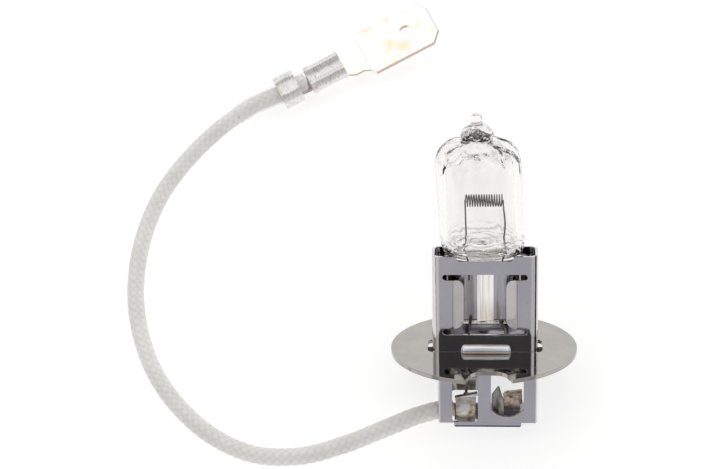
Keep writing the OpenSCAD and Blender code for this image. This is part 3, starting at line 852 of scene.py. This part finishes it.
def lathe(name, rings, sides, ruffle):
    """A closed skin drawn up from a circle ring by ring; ruffle(point) moves each of its points."""
    deselect()
    bpy.ops.mesh.primitive_circle_add(vertices=sides, radius=1, fill_type="NGON")
    skin = named(name)
    activate(skin)
    bpy.ops.object.mode_set(mode="EDIT")
    bpy.ops.mesh.select_all(action="SELECT")
    for _ in rings[1:]:
        bpy.ops.mesh.extrude_region_move(TRANSFORM_OT_translate={"value": (0, 0, 1)})
    bpy.ops.object.mode_set(mode="OBJECT")
    for vertex in skin.data.vertices:
        z, half_w, half_d, power = rings[round(vertex.co.z)]
        angle = math.atan2(vertex.co.y, vertex.co.x)
        x, y = ring_point(angle, half_w, half_d, power)
        vertex.co = ruffle(Vector((x, y, z)))
    return skin


def lean(point):
    """The envelope leans a little to the left of its pinch."""
    rise = share(point.z, 10.5, 3)
    return point + Vector((-math.tan(math.radians(2.6)) * (point.z - 9.5) * rise, 0, 0))


def wrinkle(point, size, depth, seed=0):
    at = point / size + Vector((seed, seed * 2, seed * 3))
    return Vector(noise.noise_vector(at)) * depth


def outer_rings():
    """Height, half width, half depth and squareness of the envelope's outside."""
    rings = [(3.1, 4.1, 0.95, 9), (3.25, 4.3, 1.15, 9), (4.5, 4.3, 1.15, 9), (7, 4.3, 1.15, 9),
             (9.8, 4.3, 1.15, 9), (10.5, 4.32, 1.2, 7), (11.0, 4.38, 1.38, 5), (11.4, 4.45, 1.7, 3.4),
             (11.8, 4.55, 2.15, 2.7), (12.2, 4.68, 2.75, 2.4), (12.7, 4.82, 3.5, 2.2),
             (13.2, 4.93, 4.2, 2.1), (13.8, 5.0, 4.75, 2.02), (14.6, 5.0, 4.97, 2), (16, 5, 5, 2)]
    rings += [(z, 4.98, 4.98, 2) for z in (18, 20, 21.5)]
    rings += [(22.6, 4.95, 4.95, 2), (23.3, 4.86, 4.86, 2)]
    for i in range(1, 9):
        a = i * math.pi / 16
        r = 1.75 + 3.1 * math.cos(a)
        rings.append((23.3 + 2.0 * math.sin(a), r, r, 2))
    rings += [(GLASS_TOP - z, r, r, 2) for z, r in (
        (2.95, 1.66), (2.7, 1.78), (2.4, 1.84), (2.1, 1.78), (1.8, 1.55), (1.5, 1.2), (1.3, 0.88),
        (1.15, 0.7), (0.95, 0.66), (0.7, 0.7), (0.45, 0.7), (0.25, 0.6), (0.1, 0.4), (0, 0.15))]
    return rings


def inner_rings():
    """The cavity: a mound of pressed quartz, the bore, and a rough roof under the tip."""
    rings = [(14.2, 0.15, 0.15, 2), (14.17, 0.8, 0.6, 2), (14.1, 1.4, 1.05, 2), (13.95, 2.0, 1.5, 2),
             (13.7, 2.6, 1.95, 2), (13.4, 3.1, 2.3, 2), (13.0, 3.5, 2.6, 2), (12.6, 3.8, 2.8, 2.1),
             (12.2, 3.98, 2.95, 2.2), (12.05, 4.1, 3.1, 2.2), (12.3, 4.15, 3.3, 2.2), (13.0, 4.12, 3.65, 2),
             (13.7, 4.05, 3.9, 2), (14.8, 4, 4, 2)]
    rings += [(z, r, r, 2) for z, r in (
        (16.5, 3.97), (18, 3.97), (20, 3.97), (21.6, 3.97), (22.3, 3.9), (22.9, 3.7), (23.35, 3.3),
        (23.7, 2.8), (23.95, 2.2), (24.15, 1.7), (24.5, 1.35), (24.85, 0.95), (25.05, 0.5), (25.1, 0.12))]
    return rings


def make_envelope(clear, pressed):
    """The envelope: an outer skin and the skin of its cavity, each with its own finish."""
    def outside(p):
        tip, nub, pinch = share(p.z, 23.6, 1.6), share(p.z, 27.0, 0.8), share(p.z, 10.6, -1.2)
        p = p + wrinkle(p, 1.3, 0.22, 3) * tip * (1 - 0.6 * nub)
        p = p + wrinkle(p, 0.55, 0.10, 5) * tip * (1 - 0.7 * nub)
        groove = 0.035 * (math.sin(p.x * 11) + 0.7 * math.sin(p.x * 23 + 1)) * pinch
        p.y += math.copysign(groove, p.y)
        return lean(p)

    def inside(p):
        roof = share(p.z, 21.8, 0.8)
        mound = share(p.z, 14.4, -0.8) * (1 if math.hypot(p.x, p.y) < 3.9 else 0.3)
        p = p + wrinkle(p, 1.1, 0.42, 7) * roof + wrinkle(p, 0.5, 0.16, 9) * roof
        fold = Vector((p.x * 0.55, p.y * 1.7, p.z * 0.6))
        p.z += 0.30 * mound * noise.noise(fold * 1.3 + Vector((4, 4, 4)))
        reach = math.hypot(p.x, p.y * 1.35)
        p.z += 0.08 * mound * math.sin(2 * math.pi * (reach / 0.6 + noise.noise(fold * 0.8)))
        return lean(p)

    outer = lathe("envelope", outer_rings(), 96, outside)
    outwards(outer)
    inner = lathe("cavity", inner_rings(), 96, inside)
    outwards(inner)
    edit_all(inner, bpy.ops.mesh.flip_normals)
    paint(clear, outer)
    paint(pressed, inner)
    envelope = join("quartz_bulb", outer, inner)
    apply(envelope, "SUBSURF", levels=1, render_levels=1)
    smooth(envelope, 80)
    return settle(envelope, LYING, clear, "quartz", "quartz_envelope")


# ---- the filament ----

def make_filament(metal):
    """The coil with its two legs: each leg hooks round the end of the coil."""
    turns, steps = 14.5, 20
    length, coil_r, wire_r = 4.3, 0.675, 0.075
    light = (coil_low.z + coil_high.z) / 2
    count = int(turns * steps)
    start = 0.05 - length / 2
    helix = [Vector((start + length * i / count,
                     -coil_r * math.cos(2 * math.pi * i / steps),
                     light + coil_r * math.sin(2 * math.pi * i / steps))) for i in range(count + 1)]
    coil = strip("coil", helix, Round(wire_r, 10))
    smooth(coil, 60)
    settle(coil, LYING, metal, "tungsten", "filament_coil")
    left = [(-2.06, 0, light - 0.2), (-2.14, -0.3, light + 0.1), (-2.12, -0.62, light + 0.05),
            (-2.1, -0.55, light - 0.6), (-2.08, -0.3, 16), (-2.05, -0.1, 14.5), (-2.0, 0, 13.6),
            (-1.9, 0.05, 12.4), (-1.8, -0.1, 11), (-1.72, -0.16, 9.4), (-1.7, -0.16, 8.4)]
    right = [(2.15, 0, light - 0.2), (2.25, -0.3, light + 0.1), (2.22, -0.62, light + 0.05),
             (2.26, -0.6, light - 0.6), (2.4, -0.3, 16.4), (2.48, -0.1, 15.2), (2.4, 0, 14.1),
             (2.25, 0.05, 13.3), (2.2, 0, 12), (2.15, 0.1, 10.6), (2.1, 0.16, 9.4), (2.1, 0.16, 8.4)]
    for name, points in (("left", left), ("right", right)):
        leg = round_wire("leg_" + name, points, 0.15, 0.095, 12)
        settle(leg, LYING, metal, "tungsten", "filament_leg_" + name)


# ---- sleeve, flange and cage ----

def rounded_tube(name, low, high, radius):
    """An upright tube of sheet metal with round corners."""
    tube = block(name, low, high)
    round_edges(tube, along(2), radius, 6)
    drop_faces(tube, level(2, high[2]))
    drop_faces(tube, level(2, low[2]))
    thicken(tube, SHEET, -1)
    return tube


def seam_block(name, edge, low, high, front, back=-HALF_D + 0.6):
    """A block in the narrow seam down the front right corner, where the rolled sheet meets."""
    return block(name, (edge - SEAM_FROM, front, low), (edge - SEAM_TO, back, high))


def slot_cutter(low, high, radius, axis=1):
    """A cutter with round corners that goes through a wall along an axis."""
    cutter = block("cutter", low, high)
    round_edges(cutter, along(axis), radius, 8)
    return cutter


def make_sleeve(sheet, dark, bead_finish):
    """The flattened sleeve: windows, four slots, two clamping tabs at the front and a pressed bead."""
    half_w = SLEEVE_W / 2
    floor, slot = 2.15, 0.72
    top, mid = 9.6, 5.15 / 2
    sleeve = rounded_tube("sleeve", (-half_w, -HALF_D, -FLANGE_T), (half_w, HALF_D, SLEEVE_TOP), 1.0)
    root = mid + 1.12
    combine(sleeve, block("cutter", (-root, FRONT[0], floor), (root, FRONT[1], top)))
    for z in (floor, top - slot):
        combine(sleeve, slot_cutter((-4.95, FRONT[0], z), (4.95, FRONT[1], z + slot), slot / 2 - 0.01))
    combine(sleeve, slot_cutter((-mid, BACK[0], floor), (mid, BACK[1], top), 0.9))
    combine(sleeve, slot_cutter((-3.3, -3, SLEEVE_TOP - 0.55), (3.3, 3, SLEEVE_TOP + 1), 0.35))
    combine(sleeve, seam_block("cutter", half_w, -1, SLEEVE_TOP + 1, FRONT[0]))
    soften(sleeve, 0.04, 2, 40)
    tabs = [make_tab(side, root, floor + slot, top - slot) for side in (-1, 1)]
    beads = [make_bead(side) for side in (-1, 1)]
    # painted shade: a dark block set in the seam, where the opening would only be in shade
    gap = seam_block("gap", half_w, 0, SLEEVE_TOP - 0.2, -HALF_D + 0.42)
    paint(sheet, sleeve, *tabs)
    paint(dark, gap)
    paint(bead_finish, *beads)
    sleeve = join("holder", sleeve, gap, *tabs, *beads)
    shift = Matrix.Translation(((sleeve_low.x + sleeve_high.x) / 2, 0, 0))
    return settle(sleeve, LYING @ shift, sheet, "polished_sheet", "holder_sleeve")


def make_tab(side, root, low, high):
    """A tab bent in from the edge of the window, its free corners round, that presses on the pinch."""
    reach = 1.3
    tab = block("tab", (-root - 0.15, -HALF_D, low), (-root + reach, -HALF_D + SHEET, high))
    round_edges(tab, both(along(1), level(0, -root + reach)), 1.05, 8)
    cut_across(tab, 0, *(-root + x for x in (0, 0.08, 0.16, 0.24)))
    bend = math.radians(19)
    for vertex in tab.data.vertices:
        past = vertex.co.x + root
        if past > 0:
            angle = bend * share(past, 0, 0.24)
            vertex.co.y += past * math.tan(angle * 0.9)
            vertex.co.x = -root + past * math.cos(angle)
    if side > 0:
        activate(tab)
        bpy.ops.transform.mirror(orient_type="GLOBAL", constraint_axis=(True, False, False),
                                 center_override=(0, 0, 0))
        bpy.ops.object.transform_apply(location=True, rotation=True, scale=True)
        outwards(tab)
    soften(tab, 0.05, 2, 40)
    return tab


def make_bead(side):
    """A pressed bead with round ends, which the sleeve stands on the flange by."""
    deselect()
    bpy.ops.mesh.primitive_uv_sphere_add(segments=32, ring_count=16, radius=0.5, location=(0, 0, 0),
                                         rotation=(0, math.pi / 2, 0))
    bead = named("bead")
    half_length = 2.95
    for vertex in bead.data.vertices:
        if abs(vertex.co.x) > 1e-4:
            vertex.co.x += math.copysign(half_length - 0.5, vertex.co.x)
    shape = Matrix.Diagonal((1, 1.3, 1.95, 1))
    bead.matrix_world = Matrix.Translation((0.1, side * HALF_D, -0.02)) @ shape
    activate(bead)
    bpy.ops.object.transform_apply(location=True, rotation=True, scale=True)
    edit_all(bead, bpy.ops.mesh.bisect, plane_co=(0, 0, 0.01), plane_no=(0, 0, 1), use_fill=True,
             clear_inner=True)
    smooth(bead, 60)
    return bead


def make_flange(steel):
    """The flange disc with its notch at the front and the opening for the sleeve."""
    flange = drum("flange", FLANGE_R, -FLANGE_T, 0, 160)
    notch = block("cutter", (-1.2, -FLANGE_R - 2, -2), (2.3, -8.2, 1))
    for vertex in notch.data.vertices:
        if vertex.co.y < -FLANGE_R:
            vertex.co.x = math.copysign(3.6, vertex.co.x - 0.55) + 0.72
    round_edges(notch, both(along(2), lambda p: p[0].y > -9), 1.0, 8)
    combine(flange, notch)
    side, depth = 0.55, HALF_D + 0.04
    combine(flange, slot_cutter((sleeve_low.x - side, -depth, -2), (sleeve_high.x + side, depth, 1), 0.9, 2))
    soften(flange, 0.09, 3, 50)
    return settle(flange, LYING, steel, "flange_steel", "flange_disc")


def make_cage(sheet, blued, scorched, dark):
    """The cage under the flange: two windows in front, two behind, ears at the top and a folded foot."""
    left, right = cage_low.x, cage_high.x
    low = FOOT + 0.5
    arch_left, arch_right = 0.85, 4.7
    cage = rounded_tube("cage", (left, -HALF_D, low), (right, HALF_D, -FLANGE_T), 0.35)
    combine(cage, slot_cutter((-3.75, FRONT[0], low + 0.1), (-0.7, FRONT[1], -FLANGE_T + 1), 0.25))
    combine(cage, block("cutter", (arch_left, FRONT[0], low + 1.6), (arch_right, FRONT[1], -FLANGE_T + 1)))
    sill = drum("cutter", 2.3, FRONT[0], FRONT[1], 96, "Y", ((arch_left + arch_right) / 2, low + 3.05))
    limit = block("limit", (arch_left, FRONT[0] - 1, low), (arch_right, FRONT[1] + 1, low + 4))
    combine(sill, limit, "INTERSECT")
    combine(cage, sill)
    combine(cage, slot_cutter((-3.9, BACK[0], low + 0.9), (-0.2, BACK[1], low + 2.6), 0.4))
    combine(cage, slot_cutter((0.6, BACK[0], low + 0.9), (4.9, BACK[1], -FLANGE_T - 1), 0.4))
    combine(cage, block("cutter", (left - 1, -HALF_D + 0.4, low - 1), (left + 1, HALF_D - 0.4, low + 3)))
    combine(cage, seam_block("cutter", right, low - 1, 1, FRONT[0]))
    soften(cage, 0.04, 2, 40)
    foot_left, foot_right = (left + right) / 2 - 4, (left + right) / 2 + 4
    foot = block("foot", (foot_left, -HALF_D, FOOT), (foot_right, HALF_D, FOOT + SHEET))
    round_edges(foot, both(along(1), level(2, FOOT)), 0.2, 4)
    soften(foot, 0.09, 3, 40)
    skirts, ears = [], []
    for side in (-1, 1):
        y = sorted((side * HALF_D, side * (HALF_D - SHEET)))
        skirt = block("skirt", (foot_left, y[0] - 0.02, FOOT + 0.02), (foot_right, y[1] + 0.02, low + 0.02))
        round_edges(skirt, both(along(1), level(2, FOOT + 0.02)), 0.12, 3)
        soften(skirt, 0.03, 2, 40)
        skirts.append(skirt)
        tip = side * (HALF_D + 1.4)
        y = sorted((side * (HALF_D - SHEET), tip))
        ear = block("ear", (left + 1, y[0], -FLANGE_T - SHEET), (right - 1, y[1], -FLANGE_T))
        round_edges(ear, both(along(2), level(1, tip)), 0.5, 4)
        soften(ear, 0.05, 2, 40)
        ears.append(ear)
    # painted shade: a dark block set in the seam, where the opening would only be in shade
    gap = seam_block("gap", right, low, -FLANGE_T, -HALF_D + 0.14)
    edge = block("edge", (foot_left + 0.12, -HALF_D - 0.05, FOOT),
                 (foot_right - 0.12, -HALF_D + 0.1, FOOT + 0.18))
    soften(edge, 0.04, 2, 40)
    paint(sheet, cage, foot, *skirts, *ears)
    paint(blued, edge)
    paint(dark, gap)
    cage = join("cage", cage, foot, *skirts, *ears, edge, gap)
    paint(scorched, cage)
    burnt = len(cage.data.materials) - 1
    for face in cage.data.polygons:
        at = face.center
        in_arch = arch_left < at.x < arch_right and at.y < -HALF_D + SHEET and low + 0.6 < at.z < low + 2.2
        if in_arch and face.normal.z > 0.25:
            face.material_index = burnt
    return settle(cage, LYING, sheet, "polished_sheet", "base_cage")


# ---- inside the cage ----

def make_lug(tinted):
    """The folded lug on the end of the lead: a sloping ledge over a bent front plate."""
    ledge_z = FOOT + 3.65
    ledge = block("ledge", (-3.5, -1.3, ledge_z - 0.3), (-0.75, -0.5, ledge_z))
    turn(ledge, -12, "Y", (-2.15, 0, ledge_z))
    plate = block("plate", (-3.4, -1.25, FOOT + 0.37), (-0.9, -0.95, ledge_z - 0.2))
    cut_across(plate, 2, FOOT + 1.4, FOOT + 2.0, FOOT + 2.7)
    cut_across(plate, 0, -2.2)
    for vertex in plate.data.vertices:
        drop = (ledge_z - vertex.co.z) / 3.3
        vertex.co.x = -2.15 + (vertex.co.x + 2.15) * (1 - 0.14 * drop)
        vertex.co.y -= 0.35 * math.sin(share(drop, 0, 1) * math.pi) * (1 if vertex.co.x < -1.3 else 0.4)
    floor = block("floor", (-3.1, -1.0, FOOT + 0.37), (-1.15, 0.9, FOOT + 0.6))
    for piece in (ledge, plate, floor):
        soften(piece, 0.06, 2, 30)
    lug = join("lug", ledge, plate, floor)
    return settle(lug, LYING, tinted, "heat_tinted_steel", "lead_lug")


def make_clip(scorched):
    """The scorched block that grips the earthed lead."""
    middle = Vector((3.45, 0, FOOT + 2.85))
    clip = block("clip", middle - Vector((1.12, 0.9, 0.68)), middle + Vector((1.12, 0.9, 0.68)))
    edit_all(clip, bpy.ops.mesh.subdivide, number_cuts=5)
    for vertex in clip.data.vertices:
        vertex.co += wrinkle(vertex.co, 0.5, 0.14, 11)
        vertex.co.z += 0.12 * (vertex.co.x - middle.x)
    apply(clip, "SUBSURF", levels=2, render_levels=2)
    smooth(clip, 60)
    return settle(clip, LYING, scorched, "heat_tinted_steel", "ground_clip")


def make_tongue(steel):
    """The kite-shaped tongue beside the clip, folded along its middle."""
    at = FOOT + 2.65
    tongue = block("tongue", (0.95, -1.35, at - 1.5), (2.35, -1.05, at + 2.15))
    cut_across(tongue, 2, at - 1.0, at + 0.3, at + 1.1)
    cut_across(tongue, 0, 1.75)
    for vertex in tongue.data.vertices:
        up = vertex.co.z - at
        narrow = 0.1 if up > 1.8 else (0.95 if up > 0.9 else 1)
        if vertex.co.x < 1.7:
            vertex.co.x = 1.75 - 0.85 * narrow if up > -0.5 else vertex.co.x
            vertex.co.z += 0.9 if up < -0.5 else 0
            vertex.co.y += 0.1
        elif vertex.co.x > 1.8:
            vertex.co.x = 1.75 + 0.62 * (narrow if up > 0.5 else 1)
            vertex.co.z -= 0.7 if 0.5 < up < 1.5 else 0
            vertex.co.y += 0.22
    outwards(tongue)
    soften(tongue, 0.05, 2, 25)
    return settle(tongue, LYING, steel, "flange_steel", "ground_tab")


def make_bead_weld(weld):
    """The weld that holds the hot lead to its lug."""
    deselect()
    at = (-2.1, -0.75, FOOT + 3.75)
    bpy.ops.mesh.primitive_ico_sphere_add(subdivisions=4, radius=0.32, location=at)
    bead = named("weld_bead")
    for vertex in bead.data.vertices:
        vertex.co += wrinkle(vertex.co, 0.35, 0.12, 2)
        vertex.co.z = at[2] + (vertex.co.z - at[2]) * 0.5
    smooth(bead, 60)
    return settle(bead, LYING, weld, "weld", "lug_weld")


def make_outer_leads(metal):
    """The stiff wires that leave the pinch, bend and go down into the cage."""
    left = [(-1.5, -0.3, 3.95), (-1.56, -0.3, 3.4), (-1.75, -0.3, 2.6), (-2.0, -0.3, 1.4),
            (-2.1, -0.35, 0), (-2.1, -0.6, -3), (-2.1, -0.75, FOOT + 3.7)]
    right = [(2.0, 0.3, 3.95), (2.05, 0.33, 3.4), (2.25, 0.5, 2.7), (2.6, 0.9, 1.6), (2.8, 1.25, 0),
             (2.9, 1.46, -1.4)]
    for name, points, radius in (("left", left, 0.17), ("right", right, 0.25)):
        wire = round_wire("wire_" + name, points, 0.25, radius, 16)
        settle(wire, LYING, metal, "molybdenum", "outer_lead_" + name)


# ---- stage and light ----

def make_stage(bench):
    """A pale bench top, which the object lies on."""
    deselect()
    bpy.ops.mesh.primitive_plane_add(size=3, location=(0, 0, BENCH))
    top = named("bench_top")
    top.data.materials.append(bench)


def make_studio():
    """Soft light all round: bright overhead and behind, dimmer in front, dark where a viewer stands."""
    world = bpy.data.worlds.new("studio")
    bpy.context.scene.world = world
    world.use_nodes = True
    tree = world.node_tree
    links = tree.links
    background = tree.nodes["Background"]
    way = tree.nodes.new("ShaderNodeTexCoord").outputs["Generated"]

    def towards(direction, low, high):
        """0 to 1 as a ray turns towards the direction."""
        dot = tree.nodes.new("ShaderNodeVectorMath")
        dot.operation = "DOT_PRODUCT"
        links.new(way, dot.inputs[0])
        dot.inputs[1].default_value = Vector(direction).normalized()
        spread = tree.nodes.new("ShaderNodeMapRange")
        spread.interpolation_type = "SMOOTHSTEP"
        links.new(dot.outputs["Value"], spread.inputs["Value"])
        spread.inputs["From Min"].default_value = low
        spread.inputs["From Max"].default_value = high
        return spread.outputs[0]

    def over(cover, below, colour):
        mix = tree.nodes.new("ShaderNodeMix")
        mix.data_type = "RGBA"
        links.new(cover, mix.inputs[0])
        if isinstance(below, bpy.types.NodeSocket):
            links.new(below, mix.inputs[6])
        else:
            mix.inputs[6].default_value = (*below, 1)
        mix.inputs[7].default_value = (*colour, 1)
        return mix.outputs[2]

    light = over(towards((0, 0, 1), 0.25, 0.75), (0.50, 0.495, 0.52), (1.15, 1.15, 1.14))
    light = over(towards((0, 1, 0.1), 0.5, 0.9), light, (0.85, 0.85, 0.84))
    light = over(towards((0, -0.9, 0.35), 0.55, 0.85), light, (0.47, 0.465, 0.50))
    light = over(towards((0.572, -0.775, 0.265), 0.93, 0.975), light, (0.60, 0.60, 0.55))
    light = over(towards((-0.572, -0.775, 0.265), 0.93, 0.975), light, (0.72, 0.69, 0.67))
    light = over(towards((0, -0.39, 0.92), 0.86, 0.94), light, (0.095, 0.092, 0.1))
    for side in (-1, 1):
        light = over(towards((side * 0.95, -0.28, 0.15), 0.955, 0.985), light, (0.06, 0.06, 0.06))
    seen = tree.nodes.new("ShaderNodeLightPath").outputs["Is Camera Ray"]
    links.new(over(seen, light, (0.93, 0.93, 0.93)), background.inputs["Color"])
    background.inputs["Strength"].default_value = 1.0


# ---- the whole bulb ----

make_camera()

sheet = polished_sheet()
moly = molybdenum()
sooty_and_seam_shade = sooty_wire_and_seam_shade()
scorched = scorched_clip()

route = lead_path()
lead, centreline = make_lead(route, glass_fibre_braid())
clear_sleeve = make_clear_sleeve(route, clear_sleeving())
terminal = make_terminal(tinned_brass(), sheared_brass(), crimp_painted_streaks())

cad_finishes = {"cable_core": copper_strand(), "foil_left": moly, "foil_right": moly,
                "tack_welds": burnt_weld()}
for name, finish in cad_finishes.items():
    node = frame["nodes"][name]
    node.data.materials.clear()
    node.data.materials.append(finish)

make_envelope(quartz(), pressed_quartz())
make_filament(tungsten())
make_outer_leads(sooty_and_seam_shade)
make_sleeve(sheet, sooty_and_seam_shade, bead_painted_reflections())
make_flange(flange_steel())
make_cage(sheet, blued_edge(), scorched, sooty_and_seam_shade)
make_lug(heat_tinted_steel())
make_clip(scorched)
make_tongue(worn_steel())
make_bead_weld(weld_bead())

make_stage(pale_bench())
make_studio()
scene = bpy.context.scene
scene.view_settings.view_transform = "Standard"
